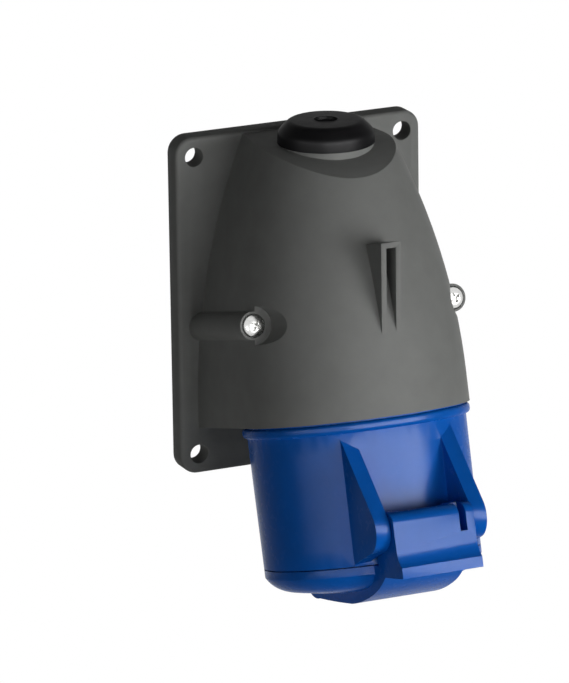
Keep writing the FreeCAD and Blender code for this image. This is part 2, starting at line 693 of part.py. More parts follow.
def hood_screws():
    seat = s.boss_front - s.screw_sink + s.washer_thick
    hole = s.screw_size / 2 + s.clearance / 4
    screw_long = seat - insert_front + s.insert_length - s.screw_short
    screws = []
    washers = []
    inserts = []
    for side in (-1, 1):
        screws.append(facing_forward(screw("cover_screw", s.screw_size, screw_long, s.screw_head,
                                           s.screw_head_tall), side, seat))
        washer = turned("washer", [(hole, -s.washer_thick), (s.screw_head / 2, -s.washer_thick),
                                   (s.screw_head / 2, 0), (hole, 0)])
        washers.append(facing_forward(washer, side, seat))
        outer = s.insert_size / 2
        foot = -s.insert_length
        insert = turned("insert", [(hole, foot), (outer, foot), (outer, 0), (hole, 0)])
        inserts.append(facing_forward(insert, side, insert_front))
    keep("cover_screws", in_socket_frame(group("cover_screw_group", *screws)))
    keep("cover_screw_seals", in_socket_frame(group("washer_group", *washers)))
    keep("plate_inserts", in_socket_frame(group("insert_group", *inserts)))


# Socket housing: an outer shell and an inner sleeve that share a web at the top, with two hinge ears
def housing():
    bore = s.mouth_bore
    sleeve = bore + s.sleeve_wall
    mouth = -s.shell_long
    inner = s.shell_mouth - s.shell_wall
    bead = s.bead_radius
    soft = s.bead_round
    under = -(s.bead_line + s.bead_tall)
    groove_in = s.spigot_radius + s.seal_in
    groove_out = groove_in + s.socket_seal_width
    body = turned("housing_body", [
        (bore, mouth), (sleeve, mouth), (sleeve, -s.web_thick), (inner, -s.web_thick), (inner, mouth),
        (s.shell_mouth, mouth), (s.shell_top, under), (bead - soft, under, soft, -1), (bead, under + soft),
        (bead, -s.bead_line - soft, soft, -1), (bead - soft, -s.bead_line), (bead - soft, 0), (groove_out, 0),
        (groove_out, -s.seal_height), (groove_in, -s.seal_height), (groove_in, 0), (s.spigot_radius, 0),
        (s.spigot_radius, s.spigot_tall), (s.flange_radius + s.clearance / 2, s.spigot_tall),
        (s.flange_radius + s.clearance / 2, s.step_up), (bore, s.step_up)])
    ears = [ear(side) for side in (-1, 1)]
    width = s.key_width / 2
    keyway = box("keyway", (-width, width), (0, bore + s.key_depth), (mouth - s.cut_past, mouth + s.key_long))
    reach = s.ear_inner + s.ear_thick
    pin_end = reach - s.pin_sunk
    bore_rod = rod("ear_bore", s.pin_size / 2 + s.pin_fit / 4, pin_end * 2, -pin_end, -s.hinge_out,
                   -s.hinge_down, "x")
    blank = fuse("housing_blank", body, *ears)
    keep("socket_housing", in_socket_frame(cut("housing_final", blank, keyway, bore_rod)))
    ring = turned("socket_seal_body", [
        (groove_in + s.groove_gap, -s.seal_height), (groove_out - s.groove_gap, -s.seal_height),
        (groove_out - s.groove_gap, 0), (groove_in + s.groove_gap, 0)])
    keep("socket_gasket", in_socket_frame(ring))


def ear(side):
    """A hinge ear: a triangle along the shell with a round end about the hinge axis."""
    root_out = s.shell_mouth - s.ear_bed
    name = "ear_right" if side > 0 else "ear_left"
    body = doc.addObject("PartDesign::Body", name)
    sketch = new_sketch(body, name + "_outline", "YZ")
    centre = FreeCAD.Vector(-s.hinge_out.number, -s.hinge_down.number, 0)
    radius = s.ear_radius
    high = FreeCAD.Vector(-root_out.number, -s.ear_top.number, 0)
    low_size = s.ear_foot - s.shell_long
    low = FreeCAD.Vector(-root_out.number, low_size.number, 0)
    upper = tangent_point(high, centre, radius.number, 1)
    lower = tangent_point(low, centre, radius.number, -1)
    first = math.atan2(upper.y - centre.y, upper.x - centre.x)
    last = math.atan2(lower.y - centre.y, lower.x - centre.x)
    back = sketch.addGeometry(Part.LineSegment(low, high), False)
    slope = sketch.addGeometry(Part.LineSegment(high, upper), False)
    circle = Part.Circle(centre, FreeCAD.Vector(0, 0, 1), radius.number)
    end = sketch.addGeometry(Part.ArcOfCircle(circle, first, last + 2 * math.pi * (last < first)), False)
    under = sketch.addGeometry(Part.LineSegment(lower, low), False)
    for rule in (("Coincident", back, 2, slope, 1), ("Tangent", slope, 2, end, 1),
                 ("Tangent", end, 2, under, 1), ("Coincident", under, 2, back, 1)):
        sketch.addConstraint(Sketcher.Constraint(*rule))
    held = (("DistanceX", back, 1, -root_out), ("DistanceY", back, 1, low_size),
            ("DistanceX", back, 2, -root_out), ("DistanceY", back, 2, -s.ear_top),
            ("DistanceX", end, 3, -s.hinge_out), ("DistanceY", end, 3, -s.hinge_down))
    for direction, edge, point, value in held:
        number = sketch.addConstraint(Sketcher.Constraint(direction, -1, 1, edge, point, value.number))
        sketch.setExpression(f"Constraints[{number}]", value.formula)
    number = sketch.addConstraint(Sketcher.Constraint("Radius", end, radius.number))
    sketch.setExpression(f"Constraints[{number}]", radius.formula)
    start = s.ear_inner if side > 0 else -(s.ear_inner + s.ear_thick)
    bind(sketch, **{".AttachmentOffset.Base.z": start})
    pad = body.newObject("PartDesign::Pad", name + "_pad")
    pad.Profile = sketch
    bind(pad, Length=s.ear_thick)
    body.Tip = pad
    return body


def tangent_point(point, centre, radius, side):
    """Where a line from a point touches a circle. Side picks one of the two."""
    away = point - centre
    turn = math.acos(radius / away.Length) * side
    unit = away.normalize()
    turned_x = unit.x * math.cos(turn) - unit.y * math.sin(turn)
    turned_y = unit.x * math.sin(turn) + unit.y * math.cos(turn)
    return centre + FreeCAD.Vector(turned_x, turned_y, 0) * radius


# Lock ring: a nut on the spigot. It clamps hood and housing, and its lip keeps the carrier in
def lock_ring():
    bore = s.spigot_radius + s.clearance / 4
    foot = s.hood_wall
    body = turned("ring_body", [
        (bore, foot), (s.ring_radius, foot), (s.ring_radius, foot + s.ring_tall),
        (s.flange_radius - s.ring_hold, foot + s.ring_tall),
        (s.flange_radius - s.ring_hold, foot + s.ring_tall - s.ring_lip),
        (bore, foot + s.ring_tall - s.ring_lip)])
    notches = []
    for number in range(int(s.ring_grips.number)):
        angle = 360.0 * number / s.ring_grips.number
        notch = box("grip_notch", (s.ring_radius - s.grip_depth, s.ring_radius + s.cut_past),
                    (-s.grip_width / 2, s.grip_width / 2), (foot + s.grip_foot, foot + s.ring_tall * 2))
        turned_notch = group("grip", notch)
        turned_notch.Placement = FreeCAD.Placement(FreeCAD.Vector(0, 0, 0), FreeCAD.Rotation(ZAXIS, angle))
        notches.append(turned_notch)
    return keep("lock_ring", in_socket_frame(cut("ring_final", body, *notches)))


# Contacts stand on the pitch circle: earth on the wall side, the two power contacts in front
CONTACTS = (("earth_contact", 90, s.earth_pin), ("line_contact", 210, s.live_pin),
            ("neutral_contact", 330, s.live_pin))
block_face = s.block_sunk - s.shell_long
flange_top = s.step_up + s.flange_thick
tube_foot = block_face + s.tube_sunk


def at_contact(thing, angle):
    """Moves an object to a contact's place. Its X then points away from the socket's axis."""
    radians = math.radians(angle)
    place(thing, s.pitch_radius * math.cos(radians), s.pitch_radius * math.sin(radians), 0, ZAXIS, angle)
    return thing


def carrier():
    """A front block with the pin holes, and the terminal base that stands on it."""
    block = rod("block", s.block_radius, s.step_up - block_face, 0, 0, block_face)
    flange = rod("flange", s.flange_radius, s.flange_thick, 0, 0, s.step_up)
    barriers = []
    holes = []
    seats = []
    half = s.barrier_thick / 2
    side = s.terminal_side / 2 + s.clearance
    seat = flange_top - s.seat_depth
    for node, angle, pin in CONTACTS:
        wall = box("barrier", (0, s.barrier_reach), (-half, half),
                   (seat, flange_top + s.barrier_tall))
        barrier = group("barrier_turned", wall)
        turn = FreeCAD.Rotation(ZAXIS, angle + s.barrier_angle.number)
        barrier.Placement = FreeCAD.Placement(FreeCAD.Vector(0, 0, 0), turn)
        barriers.append(barrier)
        mouth = rod("pin_entry", pin / 2 + s.clearance * 2, s.tube_sunk * 2, 0, 0, block_face - s.tube_sunk)
        room = pin / 2 + s.tube_wall + s.clip_wall + s.clearance
        tube_hole = rod("tube_hole", room, s.terminal_tall - tube_foot, 0, 0, tube_foot - s.clearance)
        square = box("terminal_seat", (-side, side), (-side, side), (seat, flange_top + s.terminal_tall * 2))
        holes.append(at_contact(fuse("pin_hole", mouth, tube_hole), angle))
        through = rod("tube_passage", room, s.flange_thick * 2, 0, 0, s.step_up - s.flange_thick / 2)
        seats.append(at_contact(fuse("contact_seat", through, square), angle))
    keep("contact_block", in_socket_frame(cut("block_final", block, *holes)))
    base = fuse("base_blank", flange, *barriers)
    keep("terminal_base", in_socket_frame(cut("base_final", base, *seats)))


def contact(node, angle, pin):
    """A slit tube for the plug's pin, under a terminal with a square opening for the wire."""
    seat = flange_top - s.seat_depth
    outer = pin / 2 + s.tube_wall
    half = s.terminal_side / 2
    tube = rod("tube", outer, seat - tube_foot, 0, 0, tube_foot)
    terminal = box("terminal", (-half, half), (-half, half), (seat, seat + s.terminal_tall))
    bore = rod("tube_bore", pin / 2 + s.clearance / 4, s.tube_depth, 0, 0, tube_foot)
    slit = s.tube_slit / 2
    slits = box("tube_slits", (-s.terminal_side, s.terminal_side), (-slit, slit),
                (tube_foot - s.cut_past, tube_foot + s.slit_long))
    wire = s.wire_space / 2
    wire_room = box("wire_room", (-wire, wire), (-wire, wire),
                    (seat + s.terminal_floor, seat + s.terminal_tall + s.cut_past))
    screw_hole = rod("screw_hole", s.term_screw / 2 + s.clearance / 4, s.terminal_side, 0, 0,
                     screw_level(), "x")
    blank = fuse(node + "_blank", tube, terminal)
    shape = at_contact(cut(node + "_shape", blank, bore, slits, wire_room, screw_hole), angle)
    return keep(node, in_socket_frame(group(node + "_node", shape)))


def screw_level():
    return flange_top - s.seat_depth + s.term_screw_up


def contact_fittings():
    """A clip round each tube, and the screw and clamp of each terminal."""
    clips = []
    screws = []
    clamps = []
    half = s.terminal_side / 2
    wire = s.wire_space / 2
    for node, angle, pin in CONTACTS:
        inner = pin / 2 + s.tube_wall
        low = tube_foot + s.clip_tall
        outer = inner + s.clip_wall
        high = low + s.clip_tall
        ring = turned("clip", [(inner, low), (outer, low), (outer, high), (inner, high)])
        gap = box("clip_gap", (-s.terminal_side, 0), (-s.tube_slit, s.tube_slit),
                  (low - s.cut_past, low + s.clip_tall + s.cut_past))
        clips.append(at_contact(cut("clip_open", ring, gap), angle))
        long = half - wire + s.clamp_thick
        fastener = screw("terminal_screw", s.term_screw, long, s.term_head, s.term_head_tall)
        place(fastener, half, 0, screw_level(), YAXIS, 90)
        screws.append(at_contact(group("screw_placed", fastener), angle))
        thick = s.clamp_thick
        clamp = box("clamp", (wire - thick * 2, wire - thick), (s.clearance - wire, wire - s.clearance),
                    (screw_level() - s.clamp_tall / 2, screw_level() + s.clamp_tall / 2))
        clamps.append(at_contact(group("clamp_placed", clamp), angle))
    keep("contact_clips", in_socket_frame(group("clip_group", *clips)))
    keep("terminal_screws", in_socket_frame(group("terminal_screw_group", *screws)))
    keep("wire_clamps", in_socket_frame(group("clamp_group", *clamps)))


# Lid: a shallow dome with a bridge under it, which turns up at the front into the hinge block
def lid():
    top = -(s.shell_long + s.lid_gap)
    radius = s.lid_radius
    wall = s.lid_wall
    shoulder = top - s.lid_shoulder_down
    dome = top - s.lid_dome_down
    seal_floor = s.lid_gap - s.seal_touch + top - s.lid_seal_tall
    seat_radius = s.lid_seal_outer + s.seal_room
    body = turned("lid_body", [
        (seat_radius, top), (seat_radius, seal_floor), (s.lid_room, seal_floor),
        (s.lid_room, shoulder + s.room_rise),
        (0, dome + wall), (0, dome, s.lid_dome_arc, -1), (s.lid_shoulder, shoulder, s.lid_shoulder_arc, -1),
        (radius, top - s.lid_band), (radius, top)])
    half = s.hinge_width / 2
    axis_y = -s.hinge_out
    axis_z = -s.hinge_down
    face = axis_y - s.hinge_face
    flat_top = axis_z + s.face_up
    crest = axis_z + s.crest_up
    tab = axis_y - s.tab_out
    tab_top = top - s.tab_drop
    tab_low = tab_top - s.tab_thick
    back = axis_y + s.hinge_back
    sole = top - s.bridge_down
    inside = top - wall
    block = plate_of("hinge_block", "YZ", [
        (back, axis_z), (back, top), (s.bite - seat_radius, top), (s.bite - seat_radius, inside),
        (-s.lid_room, shoulder + s.bridge_side_up), (0, dome + s.bridge_dome_up),
        (s.bridge_heel, shoulder + s.bridge_heel_up, s.bridge_heel_arc, 1),
        (s.bridge_back, sole + s.bridge_back_up, s.bridge_back_arc, 1),
        (-s.bridge_low, sole, s.bridge_front_arc, 1),
        (axis_y + s.bridge_toe, sole + s.bridge_toe_up, s.bridge_toe_arc, 1), (axis_y + s.tab_root, tab_low),
        (tab, tab_low), (tab, tab_top, s.tab_arc, -1), (face, top + s.face_foot),
        (face, flat_top, s.crest_arc, 1),
        (face + s.crest_front, crest), (axis_y - s.crest_back, crest, s.hinge_back, 1)], -half, half)
    spring_half = s.spring_room / 2
    spring_pocket = box("spring_pocket", (-spring_half, spring_half),
                        (axis_y - s.spring_front, back + s.spring_back),
                        (axis_z - s.spring_low, crest + s.cut_past))
    leg_slot = box("leg_slot", (s.leg_near, s.leg_far), (face - s.cut_past, axis_y - s.leg_back),
                   (axis_z - s.leg_low, crest + s.cut_past))
    pin_bore = rod("lid_bore", s.pin_size / 2 + s.pin_fit, s.hinge_width * 1.2, -s.hinge_width * 0.6, axis_y,
                   axis_z, "x")
    solid = cut("lid_final", fuse("lid_blank", body, block), spring_pocket, leg_slot, pin_bore)
    keep("lid", in_socket_frame(solid))
    seal = turned("lid_seal_body", [
        (s.lid_seal_inner, seal_floor), (s.lid_seal_outer, seal_floor),
        (s.lid_seal_outer, seal_floor + s.lid_seal_tall), (s.lid_seal_inner, seal_floor + s.lid_seal_tall)])
    keep("lid_gasket", in_socket_frame(seal))


def hinge_pin():
    half = s.ear_inner + s.ear_thick - s.pin_sunk
    pin = rod("pin", s.pin_size / 2, half * 2, -half, -s.hinge_out, -s.hinge_down, "x")
    keep("hinge_pin", in_socket_frame(group("pin_node", pin)))


def lid_spring():
    """A torsion spring round the pin. One leg lies on the housing and the other in the hinge block."""
    helix = doc.addObject("Part::Helix", "coil_line")
    long = s.coil_pitch * s.coil_turns
    bind(helix, Pitch=s.coil_pitch, Height=long, Radius=s.coil_radius)
    helix.LocalCoord = "Left-handed"
    wire = doc.addObject("Part::Circle", "coil_wire")
    bind(wire, Radius=s.wire_size / 2)
    place(wire, s.coil_radius, 0, 0, XAXIS, 90)
    doc.recompute()
    coil = doc.addObject("Part::Sweep", "coil")
    coil.Sections = [wire]
    coil.Spine = (helix, ["Edge1"])
    coil.Solid = True
    coil.Frenet = True
    back_leg = rod("back_leg", s.wire_size / 2, s.hinge_out - s.shell_top, s.coil_radius, 0, 0, "y")
    front_leg = rod("front_leg", s.wire_size / 2, s.coil_radius + s.leg_tail, s.coil_radius,
                    -s.coil_radius - s.leg_tail, long, "y")
    spring = group("spring_parts", fuse("spring_fused", coil, back_leg, front_leg))
    place(spring, -long / 2, -s.hinge_out, -s.hinge_down, YAXIS, 90)
    keep("lid_spring", in_socket_frame(group("spring_node", spring)))


wall_plate()
hood(hood_seal())
grommet()
hood_screws()
housing()
lock_ring()
carrier()
for contact_row in CONTACTS:
    contact(*contact_row)
contact_fittings()
lid()
hinge_pin()
lid_spring()
doc.recompute()

for thing in doc.Objects:
    if "Invalid" in thing.State or "Error" in thing.State:
        raise SystemExit(f"{thing.Name} failed: {thing.State}")
for node, thing in SUBPARTS.items():
    if thing.Shape.isNull() or not thing.Shape.isValid():
        raise SystemExit(f"{node} has no valid shape")
    thing.Shape.exportStep(os.path.join("parts", node + ".step"))
    corners = thing.Shape.BoundBox
    print(f"{node}: {len(thing.Shape.Solids)} solids, {thing.Shape.Volume:.1f} mm3, "
          f"x {corners.XMin:.1f} to {corners.XMax:.1f}, y {corners.YMin:.1f} to {corners.YMax:.1f}, "
          f"z {corners.ZMin:.1f} to {corners.ZMax:.1f}")
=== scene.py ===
# %% [markdown]
# # An industrial wall socket, dressed for its photograph
#
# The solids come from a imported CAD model, which is loaded first and never moved. This lesson gives
# each piece its finish, replaces seven solids with finer surfaces, and sets up the light and the
# camera. Blender's lengths are metres, with +Z up and the wall at y = 0. The socket stands out
# towards -Y.

# %% Load the frame
import json
import math

import bmesh
import bpy
import numpy as np
from mathutils import Matrix, Vector


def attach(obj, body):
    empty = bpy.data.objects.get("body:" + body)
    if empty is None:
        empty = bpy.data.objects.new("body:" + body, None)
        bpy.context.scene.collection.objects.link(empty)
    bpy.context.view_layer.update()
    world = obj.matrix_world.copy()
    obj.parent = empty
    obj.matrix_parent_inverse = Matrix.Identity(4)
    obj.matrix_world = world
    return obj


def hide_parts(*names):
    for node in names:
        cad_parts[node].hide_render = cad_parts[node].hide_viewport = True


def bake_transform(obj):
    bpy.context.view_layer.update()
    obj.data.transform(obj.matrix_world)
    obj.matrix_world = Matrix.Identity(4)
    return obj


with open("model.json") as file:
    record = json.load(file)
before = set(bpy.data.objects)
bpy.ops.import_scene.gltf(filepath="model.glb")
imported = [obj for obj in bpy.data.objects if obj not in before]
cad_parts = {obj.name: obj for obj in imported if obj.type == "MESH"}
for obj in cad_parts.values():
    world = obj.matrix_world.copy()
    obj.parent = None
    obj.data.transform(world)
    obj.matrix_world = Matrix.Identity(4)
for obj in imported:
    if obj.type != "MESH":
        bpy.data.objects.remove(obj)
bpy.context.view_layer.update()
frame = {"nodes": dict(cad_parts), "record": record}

MM = 0.001

# %% [markdown]
# ## Camera
#
# The photograph was taken from far away with a long lens, a little from the left and from above. A
# camera that was fitted to the plate, the rim and the lid gives its direction, its distance and the
# point that it looks at. The lens follows from the focal length in pixels, because the longer side
# of the picture, 683 pixels, falls on the 36 mm of Blender's sensor.

# %% Camera
CAMERA_AROUND = math.radians(-24.0975)
CAMERA_UP = math.radians(16.5962)
CAMERA_ROLL = math.radians(-0.8268)
CAMERA_DISTANCE = 1721.4508 * MM
CAMERA_TARGET = Vector((-18.185, -35.0, -4.0107)) * MM
FOCAL_PIXELS = 6327.1799
PICTURE_TALL = 683
SENSOR = 36.0
NEAREST_SEEN = 0.05
FARTHEST_SEEN = 20.0


def direction(around, up):
    """A unit vector: around is counted from -Y towards +X, and up from level towards +Z."""
    level = math.cos(up)
    return Vector((math.sin(around) * level, -math.cos(around) * level, math.sin(up)))


def add_object(name, data):
    """An object of its data, put into the scene."""
    thing = bpy.data.objects.new(name, data)
    bpy.context.scene.collection.objects.link(thing)
    return thing


def add_camera():
    """Three axes make the camera's turn: right, up and back, rolled about the line of sight."""
    back = direction(CAMERA_AROUND, CAMERA_UP)
    right = (-back).cross(Vector((0, 0, 1))).normalized()
    up = right.cross(-back)
    turn, lean = math.cos(CAMERA_ROLL), math.sin(CAMERA_ROLL)
    axes = Matrix((turn * right + lean * up, turn * up - lean * right, back)).transposed()
    data = bpy.data.cameras.new("photo_camera")
    data.lens = FOCAL_PIXELS * SENSOR / PICTURE_TALL
    data.sensor_width = SENSOR
    data.clip_start = NEAREST_SEEN
    data.clip_end = FARTHEST_SEEN
    camera = add_object("photo_camera", data)
    place = Matrix.Translation(CAMERA_TARGET + back * CAMERA_DISTANCE)
    camera.matrix_world = place @ axes.to_4x4()
    bpy.context.scene.camera = camera
    return camera


camera = add_camera()
print(f"camera: lens {camera.data.lens:.1f} mm at {CAMERA_DISTANCE:.2f} m")

# %% [markdown]
# ## Sums in a material
#
# A material's pattern is a sum over the surface, and Blender writes each step of a sum as a node. A
# small class lets Python write those nodes: it wraps a socket, and each operator adds a Math node.
# The reflected forms let the plain number stand first, as in 2 * height.

# %% An operator adds a node
class Wire:
    """A number that leaves a node. An operator on it adds the Math node that works it out."""

    def __init__(self, nodes, socket):
        self.nodes = nodes
        self.socket = socket

    def __add__(self, other):
        return self.nodes.sum("ADD", self, other)

    def __mul__(self, other):
        return self.nodes.sum("MULTIPLY", self, other)

    __radd__ = __add__
    __rmul__ = __mul__


# %% [markdown]
# Every other node comes from one method, which takes its type, its settings and its sockets. The
# sky and the floor use it too, with one pattern that they share: it tells the rays that see a
# surface from the rays that light one.

# %% Adding nodes
class Nodes:
    """The nodes of a material or of the sky."""

    def __init__(self, tree):
        self.tree = tree

    def add(self, kind, settings=None, sockets=None):
        """Adds a node, sets its settings and then its sockets, each a value or a link."""
        node = self.tree.nodes.new(kind)
        for name, value in (settings or {}).items():
            setattr(node, name, value)
        for name, value in (sockets or {}).items():
            if isinstance(value, Wire):
                value = value.socket
            if isinstance(value, bpy.types.NodeSocket):
                self.tree.links.new(value, node.inputs[name])
            else:
                node.inputs[name].default_value = value
        return node

    def sum(self, operation, first, second):
        """A Math node: one operation on two numbers."""
        node = self.add("ShaderNodeMath", {"operation": operation}, {0: first, 1: second})
        return Wire(self, node.outputs[0])

    def seen(self):
        """1 for what the camera, gloss and glass see, 0 for rays that light a matt surface."""
        path = self.add("ShaderNodeLightPath")
        kinds = ("Camera", "Glossy", "Transmission")
        rays = [Wire(self, path.outputs[f"Is {kind} Ray"]) for kind in kinds]
        return self.sum("MAXIMUM", self.sum("MAXIMUM", rays[0], rays[1]), rays[2])


# %% [markdown]
# A finish is one Principled shader and the nodes that feed it. Its patterns are noises in the
# piece's own coordinates, so that they stay on the piece when it moves. Colours can't go through a
# Math node, because it turns a colour into one number, its brightness. A Mix node mixes them
# instead. It has a set of sockets for numbers, one for vectors and one for colours, with the same
# names, so a colour's are picked by their place.

# %% The nodes of a finish
MIX_FACTOR = 0
MIX_FIRST_COLOUR = 6
MIX_SECOND_COLOUR = 7
MIX_COLOUR_OUT = 2


class Finish(Nodes):
    """A material in the making: one Principled shader, and the nodes that feed it."""

    def __init__(self, name, **constants):
        self.material = bpy.data.materials.new(name)
        self.material.use_nodes = True
        super().__init__(self.material.node_tree)
        self.shader = self.tree.nodes["Principled BSDF"]
        for socket, value in constants.items():
            self.shader.inputs[socket.replace("_", " ")].default_value = value
        self.place = self.add("ShaderNodeTexCoord").outputs["Object"]

    def noise(self, size, detail=3.0, squeeze=(1, 1, 1)):
        """Smooth random values from 0 to 1, in blobs of about size, in metres.

        A squeeze of 6 along an axis makes the blobs 6 times shorter that way.
        """
        place = self.add("ShaderNodeMapping", {}, {"Vector": self.place, "Scale": squeeze})
        node = self.add("ShaderNodeTexNoise", {}, {
            "Vector": place.outputs[0], "Scale": 1 / size, "Detail": detail})
        return Wire(self, node.outputs["Fac"])

    def between(self, value, low, high, start=0.0, end=1.0):
        """Carries the range from low to high over to that from start to end, and stops there."""
        node = self.add("ShaderNodeMapRange", {"clamp": True}, {
            "Value": value, "From Min": low, "From Max": high, "To Min": start, "To Max": end})
        return Wire(self, node.outputs["Result"])

    def mixed(self, factor, first, second):
        """A colour between two colours."""
        node = self.add("ShaderNodeMix", {"data_type": "RGBA"}, {
            MIX_FACTOR: factor, MIX_FIRST_COLOUR: first, MIX_SECOND_COLOUR: second})
        return node.outputs[MIX_COLOUR_OUT]

    def feed(self, socket, value):
        """Links a number or a colour to one of the shader's sockets."""
        source = value.socket if isinstance(value, Wire) else value
        self.tree.links.new(source, self.shader.inputs[socket])

    def raise_surface(self, height, depth):
        """Bumps the surface by height, a value from 0 to 1, times depth in metres."""
        bump = self.add("ShaderNodeBump", {}, {
            "Height": height, "Distance": depth, "Strength": 1.0})
        self.feed("Normal", bump.outputs["Normal"])


def shade(colour, factor):
    """A colour made lighter or darker, with its opacity."""
    return tuple(min(channel * factor, 1.0) for channel in colour) + (1.0,)


# %% [markdown]
# ## Finishes
#
# The socket's plastics are moulded. A moulded face has a fine grain from its tool, a colour that is
# even but for a faint cloudiness, and a gloss that varies a little where the melt cooled unevenly.
# Each of those is one noise: the finest raises the surface, the widest tints the colour, and one in
# between moves the roughness. A noise stays mostly near its middle, so its range from 0.3 to 0.7 is
# spread over the whole effect. How much a face mirrors is a constant on the shader. It is low here,
# because everything round the object is white and would lift the dark plastic to grey.

# %% Moulded plastics
NOISE_LOW = 0.3
NOISE_HIGH = 0.7
CLOUD_SIZE = 6 * MM
CLOUD_DARK = 0.96
CLOUD_LIGHT = 1.04
FLOW_SIZE = 2.5 * MM
FLOW_SWING = 0.03


def moulded(name, colour, roughness, mirror, grain_size=0.35 * MM, grain_depth=0.012 * MM):
    """Even colour with wide faint clouds, gloss that varies over less, and a fine raised grain."""
    finish = Finish(name, Specular_IOR_Level=mirror)
    clouds = finish.between(finish.noise(CLOUD_SIZE), NOISE_LOW, NOISE_HIGH)
    flow = finish.between(finish.noise(FLOW_SIZE), NOISE_LOW, NOISE_HIGH, -FLOW_SWING, FLOW_SWING)
    dark, light = shade(colour, CLOUD_DARK), shade(colour, CLOUD_LIGHT)
    finish.feed("Base Color", finish.mixed(clouds, dark, light))
    finish.feed("Roughness", flow + roughness)
    finish.raise_surface(finish.noise(grain_size), grain_depth)
    return finish.material


# %% [markdown]
# The screws, the spring, the pin and the clips are plated steel, and the contacts and the threads in
# the plate are brass. Bright metal over a rolled surface has fine streaks, which raise it a little,
# and it dulls in spots of about half a millimetre, which are darker and rougher.

# %% Metals
STREAK_SIZE = 0.12 * MM
STREAK_DETAIL = 2.0
STREAK_SQUEEZE = (1, 1, 6)
STREAK_DEPTH = 0.002 * MM
STREAK_ROUGHER = 0.06
SPOT_SIZE = 0.6 * MM
SPOT_DETAIL = 4.0
SPOT_LOW = 0.45
SPOT_ROUGHER = 0.12
BRIGHT_METAL = 1.05
DULL_METAL = 0.82


def plated(name, colour, roughness):
    """Two noises: streaks for the grain of the metal, and spots where it is dull."""
    finish = Finish(name, Metallic=1.0)
    grain = finish.noise(STREAK_SIZE, STREAK_DETAIL, STREAK_SQUEEZE)
    streaks = finish.between(grain, NOISE_LOW, NOISE_HIGH)
    dull = finish.between(finish.noise(SPOT_SIZE, SPOT_DETAIL), SPOT_LOW, NOISE_HIGH)
    bright, dark = shade(colour, BRIGHT_METAL), shade(colour, DULL_METAL)
    finish.feed("Base Color", finish.mixed(dull, bright, dark))
    finish.feed("Roughness", dull * SPOT_ROUGHER + streaks * STREAK_ROUGHER + roughness)
    finish.raise_surface(streaks, STREAK_DEPTH)
    return finish.material


# %% [markdown]
# Each slot of the CAD record gets one finish, with its colour, its roughness and how much it
# mirrors. A node finds its own through its sub-part's slot.

# %% One finish for each slot
CHARCOAL = (0.135, 0.138, 0.133)
BLUE = (0.0017, 0.075, 0.345)
GROMMET_BLACK = (0.0045, 0.0045, 0.005)
SEAL_BLACK = (0.025, 0.025, 0.025)
CARRIER_GREY = (0.03, 0.03, 0.032)
RING_GREY = (0.07, 0.07, 0.07)
STEEL = (0.66, 0.66, 0.65)
BRASS = (0.72, 0.52, 0.22)
MOULDED = {
    "plate_plastic": dict(colour=CHARCOAL, roughness=0.55, mirror=0.008),
    "hood_plastic": dict(colour=CHARCOAL, roughness=0.5, mirror=0.01),
    "blue_plastic": dict(colour=BLUE, roughness=0.26, mirror=0.02,
                         grain_size=0.3 * MM, grain_depth=0.0015 * MM),
    "grommet_rubber": dict(colour=GROMMET_BLACK, roughness=0.42, mirror=0.012,
                           grain_size=0.25 * MM, grain_depth=0.005 * MM),
    "seal_rubber": dict(colour=SEAL_BLACK, roughness=0.6, mirror=0.1,
                        grain_size=0.25 * MM, grain_depth=0.015 * MM),
    "carrier_plastic": dict(colour=CARRIER_GREY, roughness=0.5, mirror=0.12),
    "ring_plastic": dict(colour=RING_GREY, roughness=0.5, mirror=0.12),
}
PLATED = {
    "screw_steel": dict(colour=STEEL, roughness=0.2),
    "contact_brass": dict(colour=BRASS, roughness=0.28),
}
finishes = {slot: moulded(slot, **look) for slot, look in MOULDED.items()}
for slot, look in PLATED.items():
    finishes[slot] = plated(slot, **look)
slot_of = {row["node"]: row["material_slot"] for row in frame["record"]["subparts"]}
for node, piece in frame["nodes"].items():
    piece.data.materials.clear()
    piece.data.materials.append(finishes[slot_of[node]])
print("finishes:", len(finishes), "for", len(slot_of), "nodes")

# %% [markdown]
# ## The socket's own frame
#
# The round socket leans away from the wall by 15 degrees. Pieces on it are worked out in a frame of
# its own, in millimetres: its origin is the middle of the hood's rim, its Z runs up the socket's
# axis and its -Y points forward. One function carries such points over into Blender's frame, and
# another carries a point back.

# %% The socket's own frame
TILT = math.radians(15)
RIM_OUT = 41.0
RIM_DROP = 25.4


def to_wall(points):
    """Turns points about the X axis by the tilt, and shifts them to the rim, in metres."""
    x, y, z = np.moveaxis(np.asarray(points, float), -1, 0)
    out = y * math.cos(TILT) + z * math.sin(TILT) - RIM_OUT
    height = z * math.cos(TILT) - y * math.sin(TILT) - RIM_DROP
    return np.stack([x, out, height], axis=-1) * MM


def to_socket(point):
    """The same turn and shift backwards, in millimetres."""
    x, out, height = np.asarray(point, float) / MM
    y = (out + RIM_OUT) * math.cos(TILT) - (height + RIM_DROP) * math.sin(TILT)
    z = (out + RIM_OUT) * math.sin(TILT) + (height + RIM_DROP) * math.cos(TILT)
    return x, y, z


print("the rim's middle in metres:", to_wall((0, 0, 0)).round(4))

# %% [markdown]
# ## Edges that catch the light
#
# A moulded edge is never sharp. The plate, the hood, the housing and the lid each get a copy whose
# loose triangles are joined into whole faces, and a Bevel modifier rounds what is still an edge. A
# weight on each edge says how much: the hood's rim is rounded more than the rest. The copies stand
# in for the solids, which stay behind them for the physics.

# %% Edges that catch the light
EDGE_ANGLE = math.radians(28)
FLAT_ANGLE = math.radians(0.05)
SAME_POINT = 0.002 * MM
SLIVER = 0.001 * MM
EDGE_SEGMENTS = 3
bodies = frame["record"]["behaviour"]["bodies"]
body_of_node = {node: body for body, nodes in bodies.items() for node in nodes}


